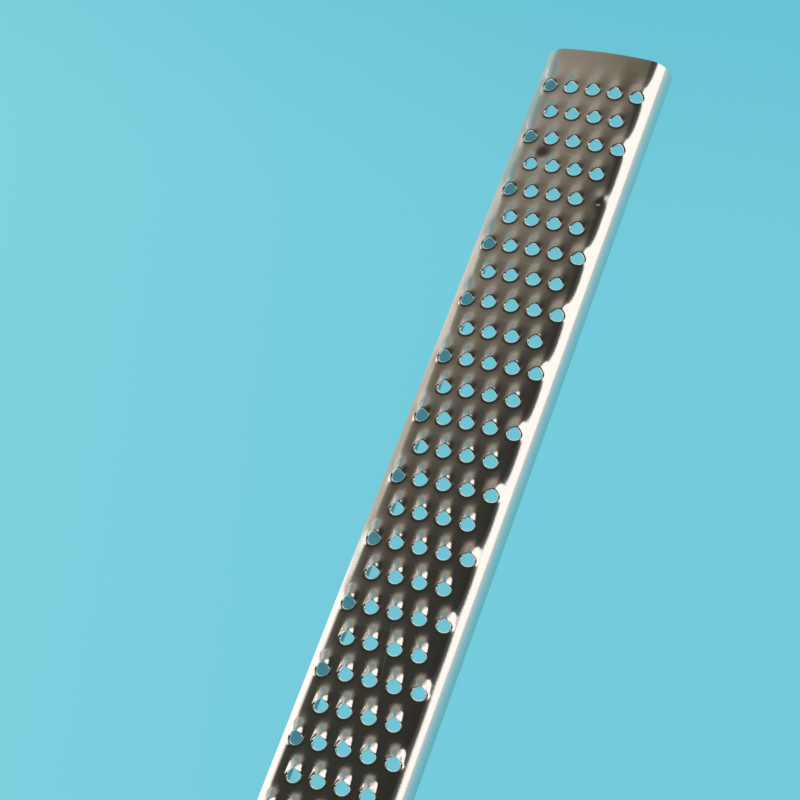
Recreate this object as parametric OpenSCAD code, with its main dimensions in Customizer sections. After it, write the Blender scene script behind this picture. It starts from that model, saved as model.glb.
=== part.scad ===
// Hand-held cheese grater: a narrow arched blade with rows of hooded teeth, and a moulded handle.
// X runs across the blade, +Y points to the tip and +Z is the side that grates.
// The origin is at the middle of the footprint, on the surface that the grater lies on.

/* [Sheet] */
// Thickness of the steel sheet
sheet_t = 0.5; // [0.4:0.05:0.6]
// Width of the blade over its rolled edges
blade_w = 30; // [29:0.5:34]
// Height of the blade from its lower edges to its crown
blade_h = 6.3; // [5.8:0.1:8]
// Radius of the shallow arch across the blade
arch_r = 83.5; // [70:0.5:120]
// Outer radius of the rolled edges
shoulder_r = 5.2; // [4.2:0.1:5.6]

/* [Teeth] */
// Number of rows of teeth along the blade
tooth_rows = 27; // [9:2:31]
// Teeth in each wide row, with one fewer in the rows between
wide_row_teeth = 5; // [4:1:5]
// Distance between neighbouring teeth of one row
column_pitch = 5.25; // [5:0.05:5.3]
// Distance between rows
row_pitch = 7.56; // [7.2:0.02:9]
// Plain length between the tip and the first row
tip_margin = 11.1; // [7:0.1:20]
// Plain length between the last row and the handle
root_margin = 9; // [6:0.5:20]
// Diameter of the hole in each tooth
hole_d = 2.85; // [2.6:0.05:3]
// Outer diameter of the hood that is pressed up behind each hole
hood_d = 3.6; // [3.4:0.05:3.8]
// Height of the hood above the sheet, over the middle of its hole
hood_rise = 1.15; // [0.9:0.05:1.25]
// Slope at which the back of the hood falls towards the tip
hood_slope = 19; // [17:1:24]
// Distance from the middle of the hole to the hood's mouth
mouth_setback = 0.35; // [0.2:0.05:0.5]
// Row of the tooth that was raised and never pierced, counted from the tip
blind_row = 5; // [1:1:9]
// Height of the low swelling that the blunt stroke left there
swell_rise = 0.5; // [0.3:0.05:0.7]
// Width of that swelling
swell_w = 4.2; // [3.6:0.1:4.6]
// Diameter of the small dimple at its foot
dimple_d = 0.9; // [0.6:0.1:1.2]
// Depth of that dimple
dimple_depth = 0.2; // [0.1:0.05:0.25]

/* [Tongue] */
// Width of the tongue that the handle is moulded over
tongue_w = 19; // [16:0.5:20]
// Length of the tongue inside the handle
tongue_l = 36; // [30:1:42]
// Cut across each corner of the tongue
tongue_chamfer = 4; // [2:0.5:6]
// Diameter of the locking holes in the tongue
lock_hole_d = 6; // [4:0.5:8]
// Distance between the two locking holes
lock_pitch = 16; // [12:0.5:18]
// Distance from the handle's front to the first locking hole
lock_setback = 11; // [8:0.5:12]

/* [Handle] */
// Length of the handle
handle_l = 122; // [110:1:140]
// Width of the handle's front beyond the blade, on each side
front_side = 2.5; // [2:0.25:4]
// Width of the handle at its waist
waist_w = 25; // [24:0.5:29]
// Width of the handle at the palm
palm_w = 31; // [28:0.5:36]
// Height of the handle's front above the crown of the blade
front_top = 5.7; // [4:0.1:8]
// Height of the handle at the palm
palm_h = 19; // [17:0.5:22]
// Height of the handle at the hanging hole
tail_h = 13; // [11:0.5:16]
// Distance from the front to the waist
waist_at = 34; // [28:1:40]
// Distance from the front to the middle of the palm
palm_at = 78; // [66:1:84]
// Length over which the handle's end is rounded
end_round = 17; // [14:1:20]
// Radius of the rounded front rim
front_round = 1.2; // [0.8:0.1:1.6]
// Depth of material trimmed away to leave the flat underside
base_trim = 1; // [0.6:0.1:1.4]
// Diameter of the hanging hole
hang_d = 9; // [7:0.5:10]
// Distance from the handle's end to the middle of the hanging hole
hang_inset = 16; // [15:0.5:19]
// Width of the countersink around the hanging hole
hang_chamfer = 1.2; // [0.6:0.1:1.6]

/* [Hidden] */
$fn = 96;
arch_fn = 720;
cut = 1;
exposed_l = tip_margin + (tooth_rows - 1) * row_pitch + root_margin;
total_l = exposed_l + handle_l;
tip_y = total_l / 2;
front_y = tip_y - exposed_l;
first_row_y = tip_y - tip_margin;
// Centres of the arch and of the rolled edges, in the cross-section
arch_z = blade_h - arch_r;
shoulder_x = blade_w / 2 - shoulder_r;
shoulder_z = arch_z + sqrt(pow(arch_r - shoulder_r, 2) - pow(shoulder_x, 2));
shoulder_angle = asin(shoulder_x / (arch_r - shoulder_r));
// The hood is a tilted tube that dives into the sheet at its far end
hood_l = hood_rise / sin(hood_slope) + hood_d / 2;
// The swelling is the cap of a ball
swell_r = (pow(swell_w / 2, 2) + pow(swell_rise, 2)) / (2 * swell_rise);
// It lies a third of its width behind its dimple, as a hood lies behind its hole
swell_y = swell_w / 3;
dimple_z = swell_rise - swell_r + sqrt(pow(swell_r, 2) - pow(swell_y, 2));
// Size of the handle's front, which covers the end of the blade
front_w = blade_w + 2 * front_side;
front_h = blade_h + front_top;
// Section of the handle: sides of each ring, and how square it is at the front and from the waist on
ring_sides = 48;
ring_step = 4;
front_squareness = 6;
squareness = 2.5;
// Length of full width behind the handle's front
front_flat = 6;
// Fall of the handle's rounded top between its middle and the rim of the hanging hole
hang_dish = 0.6;

// Outline of the blade's cross-section, set in from the outside by a wall.
// Its pieces meet along lines with the same end points: a core, the arch and two rolled edges.
module section_outline(inset) {
    half_w = blade_w / 2 - inset;
    floor_z = inset > 0 ? -cut : 0;
    far = blade_w;
    corner = [shoulder_x, shoulder_z];
    beyond = corner + 2 * shoulder_r * [sin(shoulder_angle), cos(shoulder_angle)];
    polygon([[-half_w, floor_z], [half_w, floor_z], [half_w, corner.y], corner,
             [-corner.x, corner.y], [-half_w, corner.y]]);
    intersection() {
        translate([0, arch_z]) circle(arch_r - inset, $fn = arch_fn);
        polygon([corner, beyond, [-beyond.x, beyond.y], [-corner.x, corner.y]]);
    }
    for (side = [0, 1])
        mirror([side, 0])
            intersection() {
                translate(corner) circle(shoulder_r - inset);
                polygon([corner, [far, corner.y], [far, beyond.y], beyond]);
            }
}

module along_blade(from, to) {
    translate([0, to, 0]) rotate([90, 0, 0]) linear_extrude(to - from) children();
}

// Puts a tooth on the arch: column counts from the middle, row from the tip
module on_arch(column, row) {
    y = first_row_y - row * row_pitch;
    turn = column * column_pitch / arch_r * 180 / PI;
    translate([0, y, arch_z]) rotate([0, turn, 0]) translate([0, 0, arch_r]) children();
}

// Tilted tube of the hood, with its mouth towards the handle
module hood(d, from) {
    translate([0, 0, hood_rise])
        rotate([-hood_slope, 0, 0])
            translate([0, from, -hood_d / 2])
                rotate([-90, 0, 0])
                    cylinder(d = d, h = hood_l - from);
}

// Low dome of the tooth that was raised and never pierced, set in from the outside by a wall
module swelling(inset) {
    intersection() {
        translate([0, swell_y, swell_rise - swell_r]) sphere(swell_r - inset);
        translate([-swell_w, swell_y - swell_w, -2 * sheet_t])
            cube([2 * swell_w, 2 * swell_w, 2 * sheet_t + 2 * swell_rise]);
    }
}

function row_teeth(row) = wide_row_teeth - row % 2;
function is_blind(row, tooth) = row == blind_row - 1 && tooth == row_teeth(row) - 1;

module each_tooth(blind) {
    for (row = [0 : tooth_rows - 1])
        for (tooth = [0 : row_teeth(row) - 1])
            if (is_blind(row, tooth) == blind)
                on_arch(tooth - (row_teeth(row) - 1) / 2, row) children();
}

// Tongue of the blade, moulded into the handle
module tongue(from) {
    root_y = front_y + from;
    end_y = front_y - tongue_l;
    intersection() {
        along_blade(end_y, root_y)
            translate([0, arch_z])
                difference() {
                    circle(arch_r, $fn = arch_fn);
                    circle(arch_r - sheet_t, $fn = arch_fn);
                }
        linear_extrude(blade_h + cut)
            polygon([[-tongue_w / 2, root_y], [-tongue_w / 2, end_y + tongue_chamfer],
                     [-tongue_w / 2 + tongue_chamfer, end_y], [tongue_w / 2 - tongue_chamfer, end_y],
                     [tongue_w / 2, end_y + tongue_chamfer], [tongue_w / 2, root_y]]);
    }
}

module lock_holes() {
    for (hole = [0, 1])
        translate([0, front_y - lock_setback - hole * lock_pitch, 0])
            cylinder(d = lock_hole_d, h = blade_h + cut);
}

module blade() {
    color("silver")
        difference() {
            union() {
                along_blade(front_y, tip_y) section_outline(0);
                each_tooth(false) hood(hood_d, mouth_setback);
                each_tooth(true) swelling(0);
                tongue(0);
            }
            along_blade(front_y - cut, tip_y + cut) section_outline(sheet_t);
            each_tooth(false) hood(hood_d - 2 * sheet_t, -mouth_setback);
            each_tooth(true) swelling(sheet_t);
            each_tooth(true)
                translate([0, 0, dimple_z + dimple_d / 2 - dimple_depth]) sphere(d = dimple_d);
            each_tooth(false) translate([0, 0, -2]) cylinder(d = hole_d, h = 4);
            lock_holes();
        }
}

// Smooth step from one size to the next along the handle
function eased(a, b, t) = a + (b - a) * (1 - cos(180 * max(0, min(1, t)))) / 2;
function handle_w(u) =
    u < waist_at ? eased(front_w, waist_w, (u - front_flat) / (waist_at - front_flat))
                 : eased(waist_w, palm_w, (u - waist_at) / (palm_at - waist_at));
function handle_h(u) =
    u < palm_at ? eased(front_h, palm_h, u / palm_at)
                : eased(palm_h, tail_h, (u - palm_at) / (handle_l - end_round - palm_at));
// Depth taken off by the rounded front rim, and share of the section that the rounded end leaves
function front_inset(u) =
    u < front_round ? front_round - sqrt(pow(front_round, 2) - pow(front_round - u, 2)) : 0;
function end_share(u) =
    let (over = (u - (handle_l - end_round)) / end_round)
    over > 0 ? sqrt(max(0, 1 - over * over)) : 1;

// Rounded, nearly oval ring of the handle at a distance from its front
function signed_pow(value, power) = sign(value) * pow(abs(value), power);
function ring(u) =
    let (half_w = handle_w(u) / 2 - front_inset(u),
         top_z = handle_h(u) - front_inset(u),
         half_h = (top_z + base_trim) / 2,
         mid_z = (top_z - base_trim) / 2,
         share = end_share(u),
         power = 2 / eased(front_squareness, squareness, u / waist_at))
    [for (side = [0 : ring_sides - 1])
        let (turn = 360 * side / ring_sides)
        [half_w * pow(share, 0.8) * signed_pow(cos(turn), power),
         front_y - u,
         mid_z + half_h * pow(share, 0.6) * signed_pow(sin(turn), power)]];
function ring_places() = concat(
    [for (bend = [0 : 30 : 60]) front_round * (1 - cos(bend))],
    [for (u = [front_round : ring_step : handle_l - end_round - ring_step / 2]) u],
    [for (bend = [0 : 9 : 81]) handle_l - end_round + end_round * sin(bend)]);

// Body of the handle, lofted through its rings and closed by a flat front and a point at the end
module handle_body() {
    places = ring_places();
    rings = len(places);
    last = rings - 1;
    end_point = [0, front_y - handle_l, (handle_h(handle_l) - base_trim) / 2];
    polyhedron(
        points = concat([for (u = places) each ring(u)], [end_point]),
        faces = concat(
            [[for (side = [0 : ring_sides - 1]) ring_sides - 1 - side]],
            [for (row = [0 : rings - 2], side = [0 : ring_sides - 1])
                let (next = (side + 1) % ring_sides, here = row * ring_sides, there = here + ring_sides)
                each [[here + side, here + next, there + next],
                      [here + side, there + next, there + side]]],
            [for (side = [0 : ring_sides - 1])
                let (start = last * ring_sides)
                [start + side, start + (side + 1) % ring_sides, rings * ring_sides]]));
}

// Hole to hang the grater from, countersunk on both sides
module hanging_hole() {
    hole_u = handle_l - hang_inset;
    top_z = handle_h(hole_u);
    translate([0, front_y - hole_u, 0]) {
        translate([0, 0, -cut]) cylinder(d = hang_d, h = top_z + 2 * cut);
        translate([0, 0, -cut])
            cylinder(r1 = hang_d / 2 + hang_chamfer + cut, r2 = hang_d / 2, h = hang_chamfer + cut);
        translate([0, 0, top_z - hang_chamfer - hang_dish])
            cylinder(r1 = hang_d / 2, r2 = hang_d / 2 + hang_chamfer + cut, h = hang_chamfer + cut);
    }
}

module handle() {
    color("dimgray")
        difference() {
            handle_body();
            translate([-front_w, front_y - handle_l - cut, -2 * base_trim])
                cube([2 * front_w, handle_l + 2 * cut, 2 * base_trim]);
            hanging_hole();
            difference() {
                tongue(cut);
                lock_holes();
            }
        }
}

blade();
handle();
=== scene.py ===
"""Looks of a hand-held cheese grater: a punched, polished steel blade and a moulded handle.

X runs across the blade, +Y points to the tip and +Z is the side that grates. Lengths are in metres.
"""
import math
import random

import bpy
from bpy.props import FloatProperty, FloatVectorProperty, IntProperty, PointerProperty
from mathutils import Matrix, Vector


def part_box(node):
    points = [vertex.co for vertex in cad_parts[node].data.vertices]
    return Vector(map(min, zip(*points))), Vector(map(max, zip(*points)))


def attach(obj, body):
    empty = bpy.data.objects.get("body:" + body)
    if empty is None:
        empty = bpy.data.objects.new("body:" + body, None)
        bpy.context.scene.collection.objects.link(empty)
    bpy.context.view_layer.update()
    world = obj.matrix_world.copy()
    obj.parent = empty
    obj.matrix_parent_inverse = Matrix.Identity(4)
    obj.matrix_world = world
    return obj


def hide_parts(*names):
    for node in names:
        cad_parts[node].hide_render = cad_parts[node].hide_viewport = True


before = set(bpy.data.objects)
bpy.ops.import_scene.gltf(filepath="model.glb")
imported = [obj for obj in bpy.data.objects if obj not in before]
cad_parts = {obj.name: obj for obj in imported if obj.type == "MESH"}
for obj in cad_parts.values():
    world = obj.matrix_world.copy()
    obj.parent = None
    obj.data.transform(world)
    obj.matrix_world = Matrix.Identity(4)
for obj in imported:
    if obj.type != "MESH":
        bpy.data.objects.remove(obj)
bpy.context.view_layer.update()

bl_info = {
    "name": "Cheese Grater",
    "version": (1, 0, 0),
    "blender": (4, 5, 0),
    "location": "View3D > Sidebar > Grater",
    "description": "Models a hand-held cheese grater with a polished blade and a moulded handle",
    "category": "Add Mesh",
}

MM = 0.001
BLADE_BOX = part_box("blade")
HANDLE_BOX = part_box("handle")

# The flat blank's cell round each hole: its squares across and along, and where its rings lie
# between the hole and the cell's border.
CELL_COLUMNS, CELL_ROWS = 8, 10
CELL_RINGS = (0, 0.06, 0.12, 0.2, 0.32, 0.5, 0.74, 1)
LOCK_RINGS = (0, 0.1, 0.4, 0.7, 1)
EDGE_BREAK = 0.04 * MM
SLOPE_STEP = 0.004 * MM
TINY = 0.001 * MM

# The lift of the sheet round the outermost teeth: how far it reaches across and along, and how
# far its top lies towards the tip and to the right of the hole.
RIGHT_HUMP = (1.0 * MM, 2.5 * MM, 1.3 * MM, 0.46 * MM)
LEFT_HUMP = (1.7 * MM, 2.2 * MM, 2.0 * MM, -0.4 * MM)

# Distances from a tooth's hole beyond which its parts no longer change the sheet.
HUMP_REACH = 6 * MM
HOOD_ASIDE, HOOD_BEHIND, HOOD_AHEAD = 2.6 * MM, 2.5 * MM, 5.8 * MM
RIM_REACH = 1 * MM

SOFT_BOX = (1.377, 1.356, 1.281, 1)
WARM_BOX = (0.60, 0.54, 0.45, 1)
CREAM_BOX = (0.84, 0.765, 0.67, 1)
ROSE_BOX = (0.92, 0.78, 0.70, 1)
RIM_LIGHT = (1.15, 1.1, 1.03, 1)


def length(name, description, millimetres):
    """A size of the grater, given in millimetres and kept in metres."""
    return FloatProperty(name=name, description=description, default=millimetres * MM, min=0,
                         subtype="DISTANCE", unit="LENGTH", precision=5)


def colour(name, description, default):
    return FloatVectorProperty(name=name, description=description, default=default, size=3,
                               min=0, max=1, subtype="COLOR")


def share(name, description, default):
    return FloatProperty(name=name, description=description, default=default, min=0, max=1,
                         subtype="FACTOR")


class BladeSettings(bpy.types.PropertyGroup):
    sheet: length("Sheet", "Thickness of the steel sheet", 0.5)
    half_w: length("Half Width", "Half of the width over the rolled edges", 15)
    crown: length("Crown", "Height of the blade's crown above its lower edges", 6.3)
    arch_r: length("Arch Radius", "Radius of the shallow arch across the blade", 83.5)
    shoulder_r: length("Shoulder Radius", "Outer radius of the rolled edges", 5.2)
    rows: IntProperty(name="Rows", description="Number of rows of teeth", default=27, min=9)
    row_teeth: IntProperty(name="Teeth", description="Teeth in a wide row", default=5, min=4)
    column_pitch: length("Column Pitch", "Distance between neighbouring teeth of a row", 5.25)
    row_pitch: length("Row Pitch", "Distance between rows", 7.56)
    tip_margin: length("Tip Margin", "Plain length before the first row", 11.1)
    hole_r: length("Hole Radius", "Radius of the hole in each tooth", 1.425)
    hood_rise: length("Hood Rise", "Height of a hood's ridge, halfway along the blade", 0.73)
    hood_growth: share("Hood Growth", "Share by which the hoods rise towards the handle", 0.8)
    hood_top: length("Hood Top", "Distance from the hole's middle to where its ridge falls", 0.7)
    hood_fall: length("Hood Fall", "Length over which the ridge falls", 1.38)
    hood_slope: share("Hood Slope", "Slope of the hood's two flanks, halfway along the blade", 0.72)
    slope_growth: share("Slope Growth", "Share by which flanks steepen towards the handle", 0.34)
    hood_lean: share("Hood Lean", "Share by which a hood's right flank is the steeper one", 0.2)
    ridge_r: length("Ridge Radius", "Roundness of the hood's ridge at its mouth", 0.32)
    far_ridge_r: length("Far Ridge Radius", "Roundness of the ridge at the hood's far end", 1.15)
    ridge_growth: share("Ridge Growth", "Share by which far ends get rounder to the handle", 0.5)
    fillet: length("Fillet", "Softness of the fold at the foot of the hood's mouth", 0.55)
    far_fillet: length("Far Fillet", "Softness of the fold at the hood's far end", 0.1)
    mouth_point: share("Mouth Point", "Share by which the hole narrows towards its tip side", 0.2)
    mouth_pull: share("Mouth Pull", "Share of a hood's height by which its lip is drawn back", 0.28)
    lip_rise: length("Lip Rise", "Height of the raised lip at each hole's handle side", 0.09)
    lip_w: length("Lip Width", "Width of that lip", 0.22)
    lip_at: length("Lip Place", "Distance from the hole's edge to the top of that lip", 0.34)
    rim_fall: length("Rim Fall", "Depth by which the hole's rim rounds over", 0.22)
    rim_w: length("Rim Width", "Width of that rounding", 0.3)
    hump_rise: length("Hump Rise", "Height of the sheet's lift round a tooth", 0.115)
    hump_w: length("Hump Width", "Reach of that lift across the blade", 1.43)
    hump_l: length("Hump Length", "Reach of that lift along the blade", 2.28)
    hump_at: length("Hump Place", "Distance from the hole's middle to the top of that lift", 2.44)
    hump_aside: length("Hump Aside", "Distance of that lift to the right of the hole", 0.2)
    side_hump: length("Side Hump", "Height of the lift round the outermost teeth", 0.22)
    tongue_w: length("Tongue Width", "Width of the tongue inside the handle", 19)
    tongue_l: length("Tongue Length", "Length of the tongue inside the handle", 36)
    tongue_chamfer: length("Tongue Chamfer", "Cut across each corner of the tongue", 4)
    lock_r: length("Lock Hole Radius", "Radius of the locking holes in the tongue", 3)
    lock_setback: length("Lock Setback", "Distance from the handle's front to the first hole", 11)
    lock_pitch: length("Lock Pitch", "Distance between the locking holes", 16)
    steel: colour("Steel", "Colour of the polished steel", (0.72, 0.705, 0.68))


class HandleSettings(bpy.types.PropertyGroup):
    front_h: length("Front Height", "Height of the handle's front", 12)
    waist_w: length("Waist Width", "Width of the handle at its waist", 25)
    palm_w: length("Palm Width", "Width of the handle at the palm", 31)
    tail_h: length("Tail Height", "Height of the handle at the hanging hole", 13)
    waist_at: length("Waist Place", "Distance from the front to the waist", 34)
    palm_at: length("Palm Place", "Distance from the front to the middle of the palm", 78)
    front_flat: length("Front Flat", "Length of full width behind the front", 6)
    end_round: length("End Round", "Length over which the handle's end is rounded", 17)
    front_round: length("Front Round", "Radius of the rounded front rim", 1.2)
    base_trim: length("Base Trim", "Depth to which the oval would reach below the underside", 1)
    base_round: length("Base Round", "Softness of the edge round the flat underside", 0.9)
    hang_r: length("Hole Radius", "Radius of the hanging hole", 4.5)
    hang_inset: length("Hole Inset", "Distance from the handle's end to that hole's middle", 16)
    hang_round: length("Hole Round", "Radius of that hole's rounded rims", 1.2)
    hang_dish: length("Hole Dish", "Fall of the rounded top from its ridge to that hole", 0.6)
    ring_step: length("Ring Step", "Distance between the rings of the mesh", 1.6)
    sides: IntProperty(name="Sides", description="Sides of each ring of the mesh", default=128,
                       min=24)
    plastic: colour("Plastic", "Colour of the moulded handle", (0.032, 0.034, 0.037))


class StudioSettings(bpy.types.PropertyGroup):
    # The floor is painted from the first colour to the second towards its right, a painted light
    # falloff.
    backdrop: colour("Backdrop", "Colour of the floor at its brighter side", (0.237, 0.657, 0.756))
    backdrop_painted_shade: colour("Dim Backdrop", "Colour of the floor at its darker side",
                         (0.174, 0.597, 0.713))
    lens: FloatProperty(name="Lens", description="Focal length of the camera", default=94.03,
                        subtype="DISTANCE_CAMERA")


class Tone:
    """A number in a node tree. Arithmetic on it adds Math nodes."""

    def __init__(self, bench, socket):
        self.bench = bench
        self.socket = socket

    def __add__(self, other):
        return self.bench.math("ADD", self, other)

    def __radd__(self, other):
        return self.bench.math("ADD", other, self)

    def __sub__(self, other):
        return self.bench.math("SUBTRACT", self, other)

    def __rsub__(self, other):
        return self.bench.math("SUBTRACT", other, self)

    def __mul__(self, other):
        return self.bench.math("MULTIPLY", self, other)

    def __rmul__(self, other):
        return self.bench.math("MULTIPLY", other, self)

    def __truediv__(self, other):
        return self.bench.math("DIVIDE", self, other)

    def __rtruediv__(self, other):
        return self.bench.math("DIVIDE", other, self)

    def __pow__(self, other):
        return self.bench.math("POWER", self, other)


class Bench:
    """Adds nodes to the tree of one material, lamp or world."""

    def __init__(self, owner):
        owner.use_nodes = True
        self.tree = owner.node_tree
        self.tree.nodes.clear()

    def add(self, kind, settings=None, inputs=None):
        """One node: its settings first, then the values or links of its sockets."""
        node = self.tree.nodes.new(kind)
        for name, value in (settings or {}).items():
            if name == "stops":
                self.set_stops(node.color_ramp, value)
            else:
                setattr(node, name, value)
        for name, value in (inputs or {}).items():
            source = value.socket if isinstance(value, Tone) else value
            if isinstance(source, bpy.types.NodeSocket):
                self.tree.links.new(source, node.inputs[name])
            else:
                node.inputs[name].default_value = source
        return node

    def set_stops(self, ramp, stops):
        while len(ramp.elements) < len(stops):
            ramp.elements.new(0.5)
        for element, (place, tint) in zip(ramp.elements, stops):
            element.position = place
            element.color = (*tint, 1)

    def math(self, operation, *values):
        node = self.add("ShaderNodeMath", {"operation": operation}, dict(enumerate(values)))
        return Tone(self, node.outputs[0])

    def smooth(self, value, low, high):
        """0 below low, 1 above high and a soft step between them."""
        node = self.add("ShaderNodeMapRange", {"interpolation_type": "SMOOTHSTEP"},
                        {"Value": value, "From Min": low, "From Max": high})
        return Tone(self, node.outputs[0])

    def mix(self, factor, low, high, blend="MIX"):
        """A colour between two others."""
        node = self.add("ShaderNodeMix", {"data_type": "RGBA", "blend_type": blend},
                        {0: factor, 6: low, 7: high})
        return node.outputs[2]

    def noise(self, place, scale, detail=2.0, roughness=0.5):
        node = self.add("ShaderNodeTexNoise", None,
                        {"Vector": place, "Scale": scale, "Detail": detail, "Roughness": roughness})
        return Tone(self, node.outputs[0])


def deselect_all():
    if bpy.context.mode != "OBJECT":
        bpy.ops.object.mode_set(mode="OBJECT")
    bpy.ops.object.select_all(action="DESELECT")


def select_only(*objects):
    deselect_all()
    for obj in objects:
        obj.select_set(True)
    bpy.context.view_layer.objects.active = objects[0]


def join(objects):
    """One object of several, in the first one's name."""
    select_only(*objects)
    bpy.ops.object.join()
    return objects[0]


def merge_doubles(obj, reach):
    select_only(obj)
    bpy.ops.object.mode_set(mode="EDIT")
    bpy.ops.mesh.select_all(action="SELECT")
    bpy.ops.mesh.remove_doubles(threshold=reach)
    bpy.ops.object.mode_set(mode="OBJECT")


def face_up(sheet):
    """Turns all faces of a flat sheet the same way, with their fronts up."""
    select_only(sheet)
    bpy.ops.object.mode_set(mode="EDIT")
    bpy.ops.mesh.select_all(action="SELECT")
    bpy.ops.mesh.normals_make_consistent(inside=False)
    bpy.ops.object.mode_set(mode="OBJECT")
    if sheet.data.polygons[0].normal.z < 0:
        bpy.ops.object.mode_set(mode="EDIT")
        bpy.ops.mesh.flip_normals()
        bpy.ops.object.mode_set(mode="OBJECT")


def set_in_place(obj):
    select_only(obj)
    bpy.ops.object.transform_apply(location=True, rotation=True, scale=True)


def apply_modifier(obj, name, kind, **settings):
    select_only(obj)
    modifier = obj.modifiers.new(name, kind)
    for key, value in settings.items():
        setattr(modifier, key, value)
    bpy.ops.object.modifier_apply(modifier=modifier.name)


def repeat(obj, count, step):
    """Copies of a shape in a row, with their shared edges merged."""
    apply_modifier(obj, "Row", "ARRAY", count=count, use_relative_offset=False,
                   use_constant_offset=True, constant_offset_displace=step)


def select_vertices(obj, test):
    """Marks the vertices whose places pass a test, and nothing else."""
    mesh = obj.data
    for edge in mesh.edges:
        edge.select = False
    for face in mesh.polygons:
        face.select = False
    for vertex in mesh.vertices:
        vertex.select = test(vertex.co)


def patch(west, east, south, north, columns, rows):
    """A flat grid between four sides."""
    deselect_all()
    middle = ((west + east) / 2, (south + north) / 2, 0)
    bpy.ops.mesh.primitive_grid_add(x_subdivisions=columns, y_subdivisions=rows, size=1,
                                    location=middle)
    grid = bpy.context.object
    bpy.ops.object.mode_set(mode="EDIT")
    bpy.ops.transform.resize(value=(east - west, north - south, 1))
    bpy.ops.object.mode_set(mode="OBJECT")
    set_in_place(grid)
    return grid


def frame_point(place, half_w, half_l, columns, rows):
    """A point on a rectangle's rim, counted round it from the middle of its right side."""
    across = 2 * half_w / columns
    along = 2 * half_l / rows
    step = (place + rows // 2) % (2 * (columns + rows))
    if step < rows:
        return Vector((half_w, step * along - half_l, 0))
    if step < rows + columns:
        return Vector((half_w - (step - rows) * across, half_l, 0))
    if step < 2 * rows + columns:
        return Vector((-half_w, half_l - (step - rows - columns) * along, 0))
    return Vector(((step - 2 * rows - columns) * across - half_w, -half_l, 0))


def punched_cell(hole_r, half_w, half_l, columns, rows, shares):
    """A flat rectangle of sheet round one hole: rings that go from a circle to the rectangle."""
    sides = 2 * (columns + rows)
    deselect_all()
    bpy.ops.mesh.primitive_circle_add(vertices=sides, radius=hole_r)
    cell = bpy.context.object
    bpy.ops.object.mode_set(mode="EDIT")
    for ring in range(1, len(shares)):
        bpy.ops.mesh.extrude_edges_move()
        bpy.ops.transform.resize(value=((ring + 1) / ring, (ring + 1) / ring, 1))
    bpy.ops.object.mode_set(mode="OBJECT")
    for vertex in cell.data.vertices:
        ring = round(vertex.co.length / hole_r) - 1
        place = round(math.atan2(vertex.co.y, vertex.co.x) / math.tau * sides)
        rim = frame_point(place, half_w, half_l, columns, rows)
        vertex.co = vertex.co.normalized() * hole_r * (1 - shares[ring]) + rim * shares[ring]
    return cell


def shift(obj, x, y):
    select_only(obj)
    bpy.ops.transform.translate(value=(x, y, 0))
    set_in_place(obj)
    return obj


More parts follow.
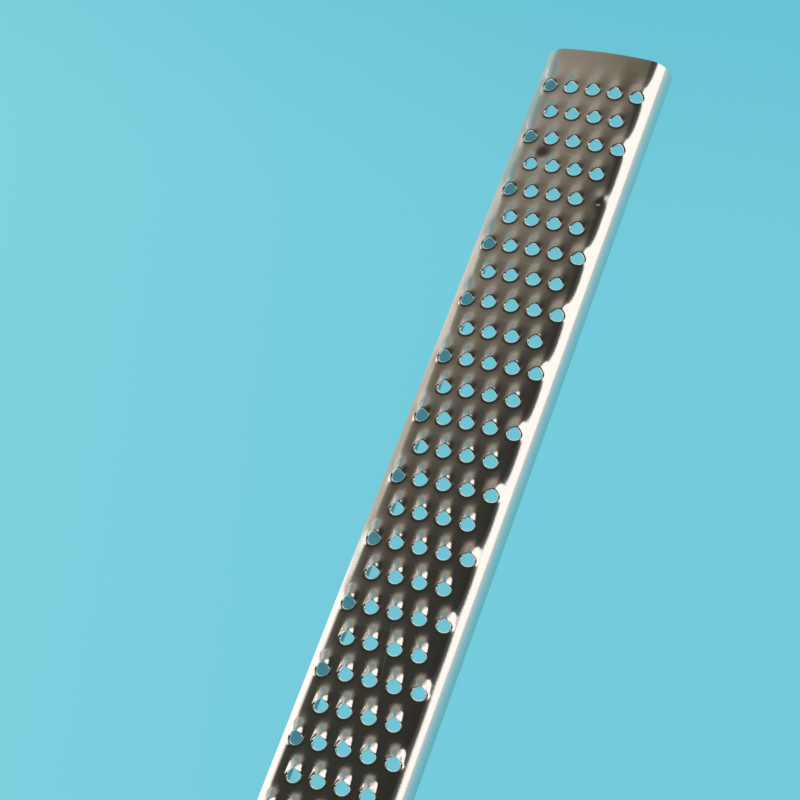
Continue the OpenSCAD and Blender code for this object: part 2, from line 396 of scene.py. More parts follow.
class BladePlan:
    """Places and heights on the blade's flat blank, and the way to the rolled sheet."""

    def __init__(self, s):
        self.s = s
        self.tip_y = BLADE_BOX[1][1]
        self.front_y = HANDLE_BOX[1][1]
        self.first_row_y = self.tip_y - s.tip_margin
        self.last_row_y = self.first_row_y - (s.rows - 1) * s.row_pitch
        self.shoulder_x = s.half_w - s.shoulder_r
        inner_r = s.arch_r - s.shoulder_r
        self.arch_z = s.crown - s.arch_r
        self.shoulder_z = self.arch_z + math.sqrt(inner_r ** 2 - self.shoulder_x ** 2)
        self.shoulder_turn = math.asin(self.shoulder_x / inner_r)
        self.arch_l = s.arch_r * self.shoulder_turn
        self.rolled_l = self.arch_l + s.shoulder_r * (math.pi / 2 - self.shoulder_turn)
        self.half_l = self.rolled_l + self.shoulder_z
        self.teeth_half = s.row_teeth * s.column_pitch / 2
        self.blind = (4, s.row_teeth - 1)
        self.dents = ((-5.9 * MM, self.tip_y - 31.5 * MM, 0.42 * MM, 1.45 * MM),)
        self.places = [self.teeth(row) for row in range(s.rows)]
        self.hoods = self.raised_hoods()

    def raised_hoods(self):
        """The sizes of every tooth's hood."""
        chance = random.Random(27)
        hoods = {}
        for row, places in enumerate(self.places):
            way = min(1, 2 * row / (self.s.rows - 4) - 1)
            for tooth, place in enumerate(places):
                hoods[row, tooth] = self.hood(way, place, chance)
        return hoods

    def hood(self, way, place, chance):
        """The sizes of one hood. way is -1 at the tip, 0 halfway and 1 near the handle."""
        s = self.s
        luck = chance.uniform(0.96, 1.04)
        hood = {"rise": s.hood_rise * (1 + s.hood_growth * way) * luck,
                "slope": s.hood_slope * (1 + s.slope_growth * way),
                "ridge": s.ridge_r * (1 - 0.25 * way),
                "lean": s.hood_lean * (1 + way) / 2,
                "rim": 0.55 + 0.45 * way,
                "far_ridge": s.far_ridge_r * (1 + s.ridge_growth * way),
                "fillet": s.fillet * (1 - 0.35 * way),
                "aside": (0.12 * way - 0.1 + chance.uniform(-0.03, 0.03)) * MM,
                "hump": (s.hump_rise * (1 - 0.3 * way), s.hump_w, s.hump_l, s.hump_at,
                         s.hump_aside)}
        outermost = self.teeth_half - 0.6 * s.column_pitch
        if place > outermost:
            low = max(0, way)
            hood["hump"] = (s.side_hump * (1 - 0.8 * low), *RIGHT_HUMP)
            hood["rise"] *= 0.75 + 0.2 * low
            hood["slope"] *= 0.6 + 0.2 * low
        elif place < -outermost:
            hood["hump"] = (s.side_hump * (1 - 0.5 * way), *LEFT_HUMP)
        return hood

    def teeth(self, row):
        """The places across the blank of one row's teeth."""
        count = self.s.row_teeth - row % 2
        return [(tooth - (count - 1) / 2) * self.s.column_pitch for tooth in range(count)]

    def row_y(self, row):
        return self.first_row_y - row * self.s.row_pitch

    def blind_place(self):
        row, tooth = self.blind
        return self.teeth(row)[tooth], self.row_y(row)

    def on_section(self, across, lift):
        """Where a point of the blank lies once the sheet is arched and its edges are rolled."""
        reach = abs(across)
        side = math.copysign(1, across)
        if reach < self.arch_l:
            turn = reach / self.s.arch_r
            radius = self.s.arch_r + lift
            return side * radius * math.sin(turn), self.arch_z + radius * math.cos(turn)
        turn = min(self.shoulder_turn + (reach - self.arch_l) / self.s.shoulder_r, math.pi / 2)
        radius = self.s.shoulder_r + lift
        drop = max(0, reach - self.rolled_l)
        return (side * (self.shoulder_x + radius * math.sin(turn)),
                self.shoulder_z + radius * math.cos(turn) - drop)

    def tooth_lift(self, u, v, hood):
        """Height of a tooth's hood, u across and v towards the tip from its hole."""
        s = self.s
        mouth = soft_step(v, -0.42 * s.hole_r, 0.5 * s.hole_r)
        if not mouth:
            return 0
        top = math.exp(-(max(0, v - s.hood_top) / s.hood_fall) ** 1.85 / 2)
        way = soft_step(v, 1 * MM, 4 * MM)
        ridge = hood["ridge"] + (hood["far_ridge"] - hood["ridge"]) * way
        fillet = hood["fillet"] + (s.far_fillet - hood["fillet"]) * way
        aside = u - hood["aside"]
        flank = math.hypot(aside, ridge) - ridge + hood["lean"] * aside
        roof = hood["rise"] * top - hood["slope"] * top ** 0.45 * flank
        roof = max(roof, 0) + max(0, fillet - abs(roof)) ** 2 / (4 * fillet)
        fade = 1 - soft_step(v, 3.2 * MM, HOOD_AHEAD)
        fade *= 1 - soft_step(abs(u), 1.7 * MM, HOOD_ASIDE)
        return roof * mouth * fade

    def drawn(self, u, v):
        """Share to which a place beside a hole follows its mouth, which is drawn back."""
        ring = math.hypot(u, v) / self.s.hole_r - 1
        return soft_step(v, 0, self.s.hole_r) * max(0, 1 - max(0, ring)) ** 2

    def rim_lift(self, u, v, hood):
        """Height of the lip at a hole's handle side and of the rounded rim all round it."""
        s = self.s
        flat_u, flat_v = u, v
        for _ in range(8 if v > -0.5 * MM else 0):
            drawn = self.drawn(flat_u, flat_v)
            flat_u = u / (1 - s.mouth_point * drawn)
            flat_v = v + hood["rise"] * s.mouth_pull * drawn
        ring = math.hypot(flat_u, flat_v) - s.hole_r
        lip = s.lip_rise * math.exp(-((ring - s.lip_at) / s.lip_w) ** 2)
        lip *= 1 - soft_step(v, -0.2 * s.hole_r, 0.7 * s.hole_r)
        fall = s.rim_fall * (1 - hood["rim"] * soft_step(v, 0.1 * s.hole_r, 0.7 * s.hole_r))
        return lip - fall * max(0, 1 - ring / s.rim_w) ** 2

    def lift(self, x, y, depth):
        """Height over the plain arch of a point of the blank, depth being 0 on its outer face."""
        s = self.s
        near = round((self.first_row_y - y) / s.row_pitch)
        outer = soft_step(depth, -0.8 * s.sheet, 0)
        total = depth
        for dent_x, dent_y, deep, radius in self.dents:
            total -= deep * bell((x - dent_x) / radius, (y - dent_y) / radius)
        for row in range(max(0, near - 1), min(s.rows, near + 2)):
            v = y - self.row_y(row)
            for tooth, place in enumerate(self.places[row]):
                u = x - place
                if abs(u) > HUMP_REACH:
                    continue
                if (row, tooth) == self.blind:
                    total += self.blind_lift(u, v)
                    continue
                hood = self.hoods[row, tooth]
                rise, wide, long, at, aside = hood["hump"]
                total += rise * bell((u - aside) / wide, (v - at) / long)
                if abs(u) < HOOD_ASIDE and -HOOD_BEHIND < v < HOOD_AHEAD:
                    total += self.tooth_lift(u, v, hood)
                    if outer and math.hypot(u, v) < s.hole_r + RIM_REACH:
                        total += self.rim_lift(u, v, hood) * outer
        return total

    def shaped(self, x, y, depth):
        """A point of the finished sheet."""
        across, height = self.on_section(x, self.lift(x, y, depth))
        return Vector((across, y, height))

    def blind_lift(self, u, v):
        """The tooth that was never pierced: a low swelling with a dimple at its foot."""
        swell = 0.26 * MM * bell(u / (0.8 * MM), (v - 1.5 * MM) / (1.3 * MM))
        dimple = 0.2 * MM * bell(u / (0.3 * MM), v / (0.3 * MM))
        return swell - dimple


def soft_step(value, start, end):
    """0 at the start, 1 at the end and a smooth way between them."""
    way = max(0, min(1, (value - start) / (end - start)))
    return way * way * (3 - 2 * way)


def bell(across, along):
    """1 in the middle of a bell-shaped lift, falling off to all sides."""
    return math.exp(-(across ** 2 + along ** 2) / 2)


def flat_blank(plan):
    """The blade's sheet before it is shaped: cells round the holes, with plain grids about them."""
    s = plan.s
    cell_w = s.column_pitch / 2
    cell_l = s.row_pitch / 2
    columns, rows = CELL_COLUMNS, CELL_ROWS
    cell = punched_cell(s.hole_r, cell_w, cell_l, columns, rows, CELL_RINGS)
    narrow = cell.copy()
    narrow.data = cell.data.copy()
    bpy.context.collection.objects.link(narrow)
    wide_count = (s.rows + 1) // 2
    narrow_count = s.rows // 2
    wide = shift(cell, plan.teeth(0)[0], plan.first_row_y)
    repeat(wide, s.row_teeth, (s.column_pitch, 0, 0))
    repeat(wide, wide_count, (0, -2 * s.row_pitch, 0))
    narrow = shift(narrow, plan.teeth(1)[0], plan.row_y(1))
    repeat(narrow, s.row_teeth - 1, (s.column_pitch, 0, 0))
    ends = []
    for side in (-1, 1):
        inner, outer = sorted((side * (plan.teeth_half - cell_w), side * plan.teeth_half))
        ends.append(patch(inner, outer, plan.row_y(1) - cell_l, plan.row_y(1) + cell_l,
                          columns // 2, rows))
    narrow = join([narrow, *ends])
    repeat(narrow, narrow_count, (0, -2 * s.row_pitch, 0))
    teeth_top = plan.first_row_y + cell_l
    teeth_end = plan.last_row_y - cell_l
    lengths = ((teeth_top, plan.tip_y, 10), (teeth_end, teeth_top, rows * s.rows),
               (plan.front_y, teeth_end, 7))
    widths = ((-plan.half_l, -plan.teeth_half, 9),
              (-plan.teeth_half, plan.teeth_half, columns * s.row_teeth),
              (plan.teeth_half, plan.half_l, 9))
    grids = []
    for south, north, along in lengths:
        for west, east, over in widths:
            if along == rows * s.rows and west == -plan.teeth_half:
                continue
            grids.append(patch(west, east, south, north, over, along))
    return join([wide, narrow, *grids, *tongue_blank(plan, columns)])


def tongue_blank(plan, columns):
    """The flat tongue: two cells round its locking holes, with a strip at each end."""
    s = plan.s
    step = s.column_pitch / columns
    across = 2 * math.floor(s.tongue_w / 2 / step)
    half_w = across * step / 2
    half_l = s.lock_pitch / 2
    first = plan.front_y - s.lock_setback
    last = first - s.lock_pitch
    cell = punched_cell(s.lock_r, half_w, half_l, across, 16, LOCK_RINGS)
    shift(cell, 0, first)
    repeat(cell, 2, (0, -s.lock_pitch, 0))
    root = patch(-half_w, half_w, first + half_l, plan.front_y, across, 2)
    end = patch(-half_w, half_w, plan.front_y - s.tongue_l, last - half_l, across, 1)
    tongue = [cell, root, end]
    for part in tongue:
        for vertex in part.data.vertices:
            inside = plan.front_y - vertex.co.y
            if inside > TINY:
                cut = max(0, inside - s.tongue_l + s.tongue_chamfer)
                vertex.co.x *= (s.tongue_w / 2 - cut) / half_w
    return tongue


def close_blind_hole(blank, plan):
    """Fills the one hole that was never pierced, ring by ring."""
    x, y = plan.blind_place()
    centre = Vector((x, y, 0))
    select_only(blank)
    bpy.ops.object.mode_set(mode="EDIT")
    bpy.ops.mesh.select_mode(type="VERT")
    bpy.ops.object.mode_set(mode="OBJECT")
    select_vertices(blank, lambda co: (co - centre).length < plan.s.hole_r * 1.01)
    bpy.ops.object.mode_set(mode="EDIT")
    for shrink in (0.8, 0.75, 0.7, 0.6, 0.5):
        bpy.ops.mesh.extrude_edges_move()
        bpy.ops.transform.resize(value=(shrink, shrink, 1), center_override=centre)
    bpy.ops.mesh.merge(type="CENTER")
    bpy.ops.object.mode_set(mode="OBJECT")


def draw_back_mouths(blank, plan):
    """Points the tip side of each hole and draws it back, as the sheet there is raised."""
    s = plan.s
    for vertex in blank.data.vertices:
        row = round((plan.first_row_y - vertex.co.y) / s.row_pitch)
        if not 0 <= row < s.rows:
            continue
        v = vertex.co.y - plan.row_y(row)
        for tooth, place in enumerate(plan.places[row]):
            u = vertex.co.x - place
            ring = math.hypot(u, v) - s.hole_r
            if (row, tooth) == plan.blind or ring > s.hole_r:
                continue
            drawn = plan.drawn(u, v)
            vertex.co.x -= u * s.mouth_point * drawn
            vertex.co.y -= plan.hoods[row, tooth]["rise"] * s.mouth_pull * drawn


def shape_sheet(sheet, plan):
    """Raises the teeth on the thick blank, arches it and rolls its edges.

    Both faces are shaded by the true slope of the sheet, so that they mirror cleanly."""
    step = SLOPE_STEP
    mesh = sheet.data
    places = [vertex.co.copy() for vertex in mesh.vertices]
    for vertex, (x, y, depth) in zip(mesh.vertices, places):
        vertex.co = plan.shaped(x, y, depth)
    mesh.update()
    normals = [vertex.normal.copy() for vertex in mesh.vertices]
    for index, (x, y, depth) in enumerate(places):
        inner = depth < -0.99 * plan.s.sheet
        if inner or depth > -0.01 * plan.s.sheet:
            here = mesh.vertices[index].co
            across = plan.shaped(x + step, y, depth) - here
            along = plan.shaped(x, y + step, depth) - here
            normals[index] = (along.cross(across) if inner else across.cross(along)).normalized()
    mesh.normals_split_custom_set_from_vertices(normals)


def split(bench, place):
    """The three parts of a place or direction, as numbers."""
    parts = bench.add("ShaderNodeSeparateXYZ", None, {0: place}).outputs
    return [Tone(bench, part) for part in parts]


def rubbed_lines(bench, x, y):
    """Two fine scratches that cross the lower half of the blade at a slant."""
    lean = x + (y - 0.0202) * 0.152 - 0.0002
    long = bench.smooth(bench.math("ABSOLUTE", lean), 0.00014, 0.00004)
    faint = bench.smooth(bench.math("ABSOLUTE", lean + 0.0014), 0.0001, 0.00003) * 0.5
    return (long + faint) * bench.smooth(y, 0.008, 0.0095) * bench.smooth(y, 0.0206, 0.0192)


def steel_tint_and_painted_shade(bench, place, settings):
    """The steel's colour, with a stain near the tip, a painted shade that darkens the inside of the
    rolled edges to teal, and a darker bluish tint on the lowest 0.45 mm of the edges.
    """
    x, y, z = split(bench, place)
    stain = ((x - 0.0068) ** 2 + ((y - 0.1634) * 0.6) ** 2) ** 0.5
    stain = bench.smooth(stain + bench.noise(place, 450, 3) * 0.003, 0.0045, 0.0022) * 0.5
    tint = bench.mix(stain, (*settings.steel, 1), (0.42, 0.36, 0.25, 1))
    # Painted shade: the inside of the rolled edges is darkened to a teal colour, which stands in
    # for the shaded hollow under the blade that it mirrors.
    reach = bench.math("ABSOLUTE", x)
    radius = settings.shoulder_r
    turn = ((reach - (settings.half_w - radius)) ** 2 + (z - 0.0005) ** 2) ** 0.5
    inside = bench.smooth(turn, radius - 0.0002, radius - 0.0003)
    inside = inside * bench.smooth(reach, 0.0096, 0.0104)
    tint = bench.mix(inside, tint, (0.22, 0.33, 0.34, 1))
    # A darker bluish tint on the lowest 0.45 mm of the edges, at the cut edge.
    return bench.mix(bench.smooth(z, 0.00045, 0.00015) * 0.6, tint, (0.25, 0.34, 0.37, 1))


def steel_material(settings):
    material = bpy.data.materials.new("polished_steel")
    bench = Bench(material)
    place = bench.add("ShaderNodeTexCoord").outputs["Object"]
    x, y, _ = split(bench, place)
    smudge = bench.noise(place, 90, 4, 0.6)
    specks = bench.smooth(bench.noise(place, 1300, 2, 0.5), 0.7, 0.76)
    roughness = 0.04 + smudge * 0.04 + specks * 0.1 + rubbed_lines(bench, x, y) * 0.3
    grain = bench.noise(place, 2600, 3, 0.6)
    bump = bench.add("ShaderNodeBump", None,
                     {"Strength": 0.05, "Distance": 0.0002, "Height": grain})
    shader = bench.add("ShaderNodeBsdfPrincipled", None,
                       {"Base Color": steel_tint_and_painted_shade(bench, place, settings), "Metallic": 1.0,
                        "Roughness": roughness, "Normal": bump.outputs[0]})
    bench.add("ShaderNodeOutputMaterial", None, {"Surface": shader.outputs[0]})
    return material


class GRATER_OT_blade(bpy.types.Operator):
    """Model the punched and rolled blade"""

    bl_idname = "grater.blade"
    bl_label = "Blade"
    bl_options = {"REGISTER", "UNDO"}

    def execute(self, context):
        plan = BladePlan(context.scene.grater_blade)
        blank = flat_blank(plan)
        blank.name = "blade_sheet"
        merge_doubles(blank, 0.02 * MM)
        close_blind_hole(blank, plan)
        face_up(blank)
        draw_back_mouths(blank, plan)
        apply_modifier(blank, "Thickness", "SOLIDIFY", thickness=plan.s.sheet, offset=-1)
        apply_modifier(blank, "Edges", "BEVEL", width=EDGE_BREAK, segments=1,
                       limit_method="ANGLE", angle_limit=math.radians(50))
        select_only(blank)
        bpy.ops.object.shade_smooth()
        shape_sheet(blank, plan)
        blank.data.materials.append(steel_material(plan.s))
        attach(blank, "root")
        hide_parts("blade")
        return {"FINISHED"}


class HandlePlan:
    """Sizes of the handle along its length, counted from its front."""

    def __init__(self, s):
        self.s = s
        low, high = HANDLE_BOX
        self.front_y = high[1]
        self.length = high[1] - low[1]
        self.front_w = high[0] - low[0]
        self.palm_h = high[2]

    def width(self, u):
        s = self.s
        if u < s.waist_at:
            return eased(self.front_w, s.waist_w, (u - s.front_flat) / (s.waist_at - s.front_flat))
        return eased(s.waist_w, s.palm_w, (u - s.waist_at) / (s.palm_at - s.waist_at))

    def height(self, u):
        s = self.s
        if u < s.palm_at:
            return eased(s.front_h, self.palm_h, u / s.palm_at)
        tail_l = self.length - s.end_round - s.palm_at
        return eased(self.palm_h, s.tail_h, (u - s.palm_at) / tail_l)

    def point(self, u, turn):
        """A point of the rounded, nearly oval ring at one distance from the front."""
        s = self.s
        edge = max(0, s.front_round - u)
        inset = s.front_round - math.sqrt(s.front_round ** 2 - edge ** 2)
        over = max(0, min(1, (u - self.length + s.end_round) / s.end_round))
        left = math.sqrt(1 - over * over)
        top = self.height(u) - inset
        power = 2 / eased(6, 2.5, u / s.waist_at)
        x = (self.width(u) / 2 - inset) * left ** 0.8 * signed_power(math.cos(turn), power)
        z = ((top - s.base_trim) / 2
             + (top + s.base_trim) / 2 * left ** 0.6 * signed_power(math.sin(turn), power))
        return Vector((x, self.front_y - u, soft_floor(z, s.base_round)))

    def rings(self):
        """Distances of the rings from the front, closer together at both ends."""
        s = self.s
        rim = [s.front_round * (1 - math.cos(math.radians(bend))) for bend in range(0, 90, 15)]
        body_l = self.length - s.end_round - s.front_round
        steps = round(body_l / s.ring_step)
        body = [s.front_round + body_l * step / steps for step in range(steps)]
        end = [self.length - s.end_round + s.end_round * math.sin(math.radians(bend))
               for bend in (*range(0, 76, 5), 79, 83, 86, 88.5)]
        return rim + body + end


def eased(first, last, way):
    """A smooth way from one size to the next."""
    return first + (last - first) * (1 - math.cos(math.pi * max(0, min(1, way)))) / 2


def signed_power(value, power):
    return math.copysign(abs(value) ** power, value)


def soft_floor(z, softness):
    """A height that never goes below zero, with a rounded edge where it would."""
    return max(z, 0) + max(0, softness - abs(z)) ** 2 / (4 * softness)


def handle_body(plan):
    """The handle's closed shell, drawn out ring by ring from its front."""
    sides = plan.s.sides
    places = plan.rings()
    deselect_all()
    bpy.ops.mesh.primitive_circle_add(vertices=sides, radius=1, rotation=(math.pi / 2, 0, 0))
    body = bpy.context.object
    set_in_place(body)
    select_only(body)
    bpy.ops.object.mode_set(mode="EDIT")
    bpy.ops.mesh.select_all(action="SELECT")
    for _ in places[1:]:
        bpy.ops.mesh.extrude_edges_move(TRANSFORM_OT_translate={"value": (0, -1, 0)})
    bpy.ops.mesh.merge(type="CENTER")
    bpy.ops.object.mode_set(mode="OBJECT")
    for vertex in body.data.vertices:
        ring = round(-vertex.co.y)
        if math.hypot(vertex.co.x, vertex.co.z) < 0.5:
            middle = (plan.point(plan.length, 0) + plan.point(plan.length, math.pi)) / 2
            vertex.co = middle
            continue
        turn = math.atan2(vertex.co.z, vertex.co.x)
        vertex.co = plan.point(places[ring], turn)
    return body


def close_front(body, plan):
    """Fills the handle's open front, with a narrow border round the flat face."""
    bpy.ops.object.mode_set(mode="OBJECT")
    select_only(body)
    bpy.ops.object.mode_set(mode="EDIT")
    bpy.ops.mesh.select_mode(type="VERT")
    bpy.ops.object.mode_set(mode="OBJECT")
    select_vertices(body, lambda co: abs(co.y - plan.front_y) < TINY)
    bpy.ops.object.mode_set(mode="EDIT")
    bpy.ops.mesh.edge_face_add()
    bpy.ops.mesh.inset(thickness=0.3 * MM)
    bpy.ops.mesh.select_all(action="SELECT")
    bpy.ops.mesh.normals_make_consistent(inside=False)
    bpy.ops.object.mode_set(mode="OBJECT")


def hanging_hole_cutter(plan):
    """A pin as wide as the hanging hole, which flares at both ends."""
    s = plan.s
    hole_u = plan.length - s.hang_inset
    top = plan.height(hole_u) - s.hang_dish
    bends = [math.radians(bend) for bend in range(0, 76, 15)]
    flare = [(s.hang_r + s.hang_round * (1 - math.cos(bend)), s.hang_round * math.sin(bend))
             for bend in bends]
    reach = 3 * s.hang_round
    flare.append((flare[-1][0] + reach, flare[-1][1] + reach / math.tan(bends[-1])))
    profile = [(r, s.hang_round - z) for r, z in reversed(flare)]
    profile += [(r, top - s.hang_round + z) for r, z in flare]
    deselect_all()
    bpy.ops.mesh.primitive_circle_add(vertices=72, radius=profile[0][0], fill_type="NGON",
                                      location=(0, plan.front_y - hole_u, profile[0][1]))
    cutter = bpy.context.object
    bpy.ops.object.mode_set(mode="EDIT")
    for (r, z), (next_r, next_z) in zip(profile, profile[1:]):
        bpy.ops.mesh.extrude_region_move(TRANSFORM_OT_translate={"value": (0, 0, next_z - z)})
        bpy.ops.transform.resize(value=(next_r / r, next_r / r, 1))
    bpy.ops.mesh.select_all(action="SELECT")
    bpy.ops.mesh.normals_make_consistent(inside=False)
    bpy.ops.object.mode_set(mode="OBJECT")
    set_in_place(cutter)
    return cutter


def plastic_material(settings):
    material = bpy.data.materials.new("handle_plastic")
    bench = Bench(material)
    place = bench.add("ShaderNodeTexCoord").outputs["Object"]
    spark = bench.noise(place, 2400, 2, 0.5)
    wear = bench.noise(place, 60, 3, 0.6)
    tint = bench.mix(wear, (*settings.plastic, 1), (*(1.25 * part for part in settings.plastic), 1))
    bump = bench.add("ShaderNodeBump", None,
                     {"Strength": 0.35, "Distance": 0.0001, "Height": spark})
    shader = bench.add("ShaderNodeBsdfPrincipled", None,
                       {"Base Color": tint, "Roughness": 0.38 + wear * 0.12,
                        "Normal": bump.outputs[0]})
    bench.add("ShaderNodeOutputMaterial", None, {"Surface": shader.outputs[0]})
    return material


class GRATER_OT_handle(bpy.types.Operator):
    """Model the moulded handle"""

    bl_idname = "grater.handle"
    bl_label = "Handle"
    bl_options = {"REGISTER", "UNDO"}

    def execute(self, context):
        plan = HandlePlan(context.scene.grater_handle)
        body = handle_body(plan)
        body.name = "handle_grip"
        close_front(body, plan)
        cutter = hanging_hole_cutter(plan)
        apply_modifier(body, "Hanging Hole", "BOOLEAN", object=cutter, operation="DIFFERENCE")
        bpy.data.objects.remove(cutter)
        select_only(body)
        bpy.ops.object.shade_smooth_by_angle(angle=math.radians(40))
        body.data.materials.append(plastic_material(plan.s))
        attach(body, "root")
        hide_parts("handle")
        return {"FINISHED"}


def glow_behind(bench, x, y, z):
    """Warm light that fades in from a dark room above towards the teal wall behind the tip."""
    rise = y - x * 0.25 - bench.math("MAXIMUM", x, -0.25) * 0.17
    glow = bench.add("ShaderNodeValToRGB", {"stops": (
        (0.20, (0.036, 0.036, 0.031)), (0.47, (0.05, 0.05, 0.043)), (0.55, (0.096, 0.087, 0.072)),
        (0.66, (0.21, 0.185, 0.147)), (0.80, (0.417, 0.378, 0.312)),
        (0.87, (0.37, 0.355, 0.315)))}, {0: rise}).outputs[0]
    wall = bench.mix(bench.smooth(z, 0.4, 0.05), (0.252, 0.378, 0.38, 1), (0.424, 0.56, 0.56, 1))
    return bench.mix(bench.smooth(y - x * 0.62, 0.96, 0.99), glow, wall), wall


def floor_below(bench, z):
    """The mirrored floor: white near the horizon and teal straight below."""
    return bench.add("ShaderNodeValToRGB", {"stops": (
        (0.0, SOFT_BOX[:3]), (0.06, (1.2, 1.17, 1.13)), (0.12, (0.8, 0.82, 0.8)),
        (0.18, (0.59, 0.71, 0.73)), (0.28, (0.445, 0.76, 0.83)), (0.42, (0.33, 0.7, 0.79)),
        (0.92, (0.18, 0.585, 0.69)))}, {0: 0.12 - z}).outputs[0]


def build_world(settings):
    """A dark studio with a warm glow behind the tip, a teal wall and soft boxes at both sides."""
    world = bpy.data.worlds.new("studio")
    bpy.context.scene.world = world
    bench = Bench(world)
    x, y, z = split(bench, bench.add("ShaderNodeTexCoord").outputs["Generated"])
    lit, wall = glow_behind(bench, x, y, z)
    edge = x + y
    lit = bench.mix(bench.smooth(edge, 0.8, 1.15) * 0.12, lit, (1.2, 1.1, 1.0, 1))
    right = bench.mix(bench.smooth(y, 0.66, 0.8), (1.38, 1.35, 1.29, 1), ROSE_BOX)
    lit = bench.mix(bench.smooth(edge, 1.04, 1.14), lit, right)
    front = bench.mix(bench.smooth(x, 0.25, 0.5), (1.1, 1.07, 1.02, 1), (0.36, 0.35, 0.33, 1))
    lit = bench.mix(bench.smooth(y, -0.45, -0.65), lit, front)
    floor = floor_below(bench, z)
    lit = bench.mix(bench.smooth(z, 0.0, -0.08), lit, floor)
    lit = bench.mix(bench.smooth(z, 0.13, 0.11) * bench.smooth(x, 0.0, 0.3), lit, floor)
    left = bench.mix(bench.smooth(y, 0.34, 0.39), SOFT_BOX, WARM_BOX)
    left = bench.mix(bench.smooth(y, 0.43, 0.47), left, CREAM_BOX)
    left = bench.mix(bench.smooth(y, 0.49, 0.56), left, wall)
    high = bench.smooth(y, 0.46, 0.54)
    beside = bench.smooth(z, 0.45 + high * 0.11, 0.1 + high * 0.36) * bench.smooth(x, -0.42, -0.5)
    lit = bench.mix(beside * bench.smooth(z, -0.85, -0.6), lit, left)
    rim = bench.smooth(y, 0.56, 0.66) * bench.smooth(z, 0.02, -0.06) * bench.smooth(x, 0.25, 0.15)
    rim = bench.math("MAXIMUM", rim, bench.smooth(y, 0.9, 0.96)) * bench.smooth(z, -0.75, -0.6)
    lit = bench.mix(rim, lit, RIM_LIGHT)
    background = bench.add("ShaderNodeBackground", None, {"Color": lit, "Strength": 1.0})
    bench.add("ShaderNodeOutputWorld", None, {"Surface": background.outputs[0]})


def floor_tint_and_painted_shade(bench, settings):
    """The backdrop's colour with a painted light falloff, darker to the right and ahead, and a
    painted shadow: a dark strip on the floor below the blade.
    """
    place = bench.add("ShaderNodeTexCoord").outputs["Object"]
    x, y, _ = split(bench, place)
    # Painted light falloff: the floor is painted darker to the right, and darker and bluer far
    # ahead.
    across = bench.smooth(x * 0.968 + y * 0.249, -0.195, 0.051)
    tint = bench.mix(across, (*settings.backdrop, 1), (*settings.backdrop_painted_shade, 1))
    painted_falloff_ahead = bench.smooth(x * 0.062 + y, 0.107, 0.239)
    tint = bench.mix(painted_falloff_ahead, tint, (0.73, 0.885, 0.90, 1), "MULTIPLY")
    # Painted shadow: a dark strip on the floor under the blade's left rolled edge, seen through the
    # leftmost holes.
    border = bench.smooth(y, 0.02, 0.14) * 0.0004 + 0.0106
    painted_shadow_strip = bench.smooth(x + border, 0.0001, -0.0002) * bench.smooth(x, -0.0151, -0.0149)
    painted_shadow_strip = painted_shadow_strip * bench.smooth(bench.math("ABSOLUTE", y - 0.061), 0.1075, 0.1055)
    painted_shadow_strip = painted_shadow_strip * (0.8 + bench.noise(place, 700, 3, 0.6) * 0.4)
    return bench.mix(painted_shadow_strip, tint, (0.36, 0.38, 0.385, 1), "MULTIPLY")


def build_floor(settings):
    deselect_all()
    bpy.ops.mesh.primitive_plane_add(size=8)
    floor = bpy.context.object
    floor.name = "floor"
    material = bpy.data.materials.new("backdrop")
    bench = Bench(material)
    tint = floor_tint_and_painted_shade(bench, settings)
    matte = bench.add("ShaderNodeBsdfDiffuse", None, {"Color": tint})
    bright = bench.add("ShaderNodeEmission", None, {"Color": tint, "Strength": 1.0})
    path = bench.add("ShaderNodeLightPath").outputs
    seen = Tone(bench, path["Is Camera Ray"]) + Tone(bench, path["Is Glossy Ray"])
    seen = bench.math("MINIMUM", seen + Tone(bench, path["Is Transmission Ray"]), 1)
    surface = bench.add("ShaderNodeMixShader", None,
                        {0: seen * 0.88, 1: matte.outputs[0], 2: bright.outputs[0]})
    bench.add("ShaderNodeOutputMaterial", None, {"Surface": surface.outputs[0]})
    floor.data.materials.append(material)
    floor.visible_glossy = False


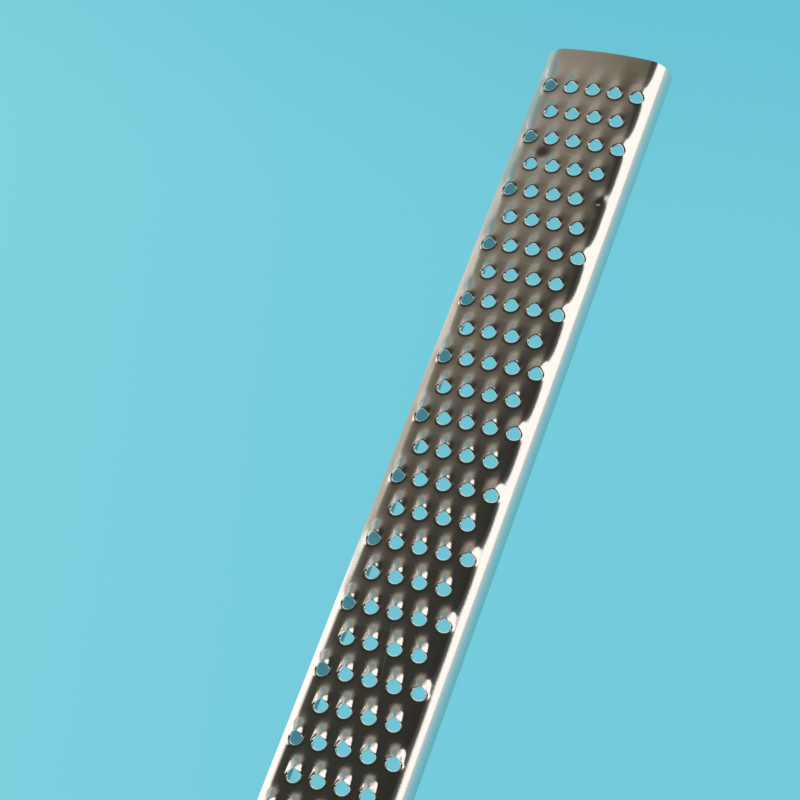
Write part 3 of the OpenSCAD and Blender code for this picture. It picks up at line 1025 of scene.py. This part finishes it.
def add_lamp(name, place, aim, size, power):
    data = bpy.data.lights.new(name, "AREA")
    data.shape = "SQUARE"
    data.size = size
    data.energy = power
    lamp = bpy.data.objects.new(name, data)
    bpy.context.collection.objects.link(lamp)
    lamp.location = place
    lamp.rotation_euler = (Vector(aim) - Vector(place)).to_track_quat("-Z", "Y").to_euler()
    lamp.visible_glossy = False


def build_camera(settings):
    data = bpy.data.cameras.new("camera")
    camera = bpy.data.objects.new("camera", data)
    bpy.context.collection.objects.link(camera)
    camera.location = (136.73 * MM, -123.81 * MM, 379.08 * MM)
    camera.rotation_euler = [math.radians(turn) for turn in (31.543, 11.824, 19.856)]
    data.lens = settings.lens
    data.sensor_width = 36
    data.clip_start = 0.01
    bpy.context.scene.camera = camera


class GRATER_OT_stage(bpy.types.Operator):
    """Add the floor, the studio light and the camera"""

    bl_idname = "grater.stage"
    bl_label = "Stage"
    bl_options = {"REGISTER", "UNDO"}

    def execute(self, context):
        settings = context.scene.grater_studio
        build_floor(settings)
        build_world(settings)
        add_lamp("overhead", (0.2, -0.1, 1.6), (0, 0, 0), 1.2, 22)
        build_camera(settings)
        context.scene.view_settings.view_transform = "Standard"
        return {"FINISHED"}


class GRATER_PT_sidebar(bpy.types.Panel):
    bl_idname = "GRATER_PT_sidebar"
    bl_label = "Cheese Grater"
    bl_space_type = "VIEW_3D"
    bl_region_type = "UI"
    bl_category = "Grater"

    def draw(self, context):
        for operator in OPERATORS:
            self.layout.operator(operator.bl_idname)


SETTINGS = {"grater_blade": BladeSettings, "grater_handle": HandleSettings,
            "grater_studio": StudioSettings}
OPERATORS = (GRATER_OT_blade, GRATER_OT_handle, GRATER_OT_stage)


def register():
    for kind in (*SETTINGS.values(), *OPERATORS, GRATER_PT_sidebar):
        bpy.utils.register_class(kind)
    for name, kind in SETTINGS.items():
        setattr(bpy.types.Scene, name, PointerProperty(type=kind))


def unregister():
    for name in SETTINGS:
        delattr(bpy.types.Scene, name)
    for kind in (GRATER_PT_sidebar, *reversed(OPERATORS), *SETTINGS.values()):
        bpy.utils.unregister_class(kind)


def main():
    register()
    bpy.ops.grater.blade()
    bpy.ops.grater.handle()
    bpy.ops.grater.stage()


if __name__ == "__main__":
    main()
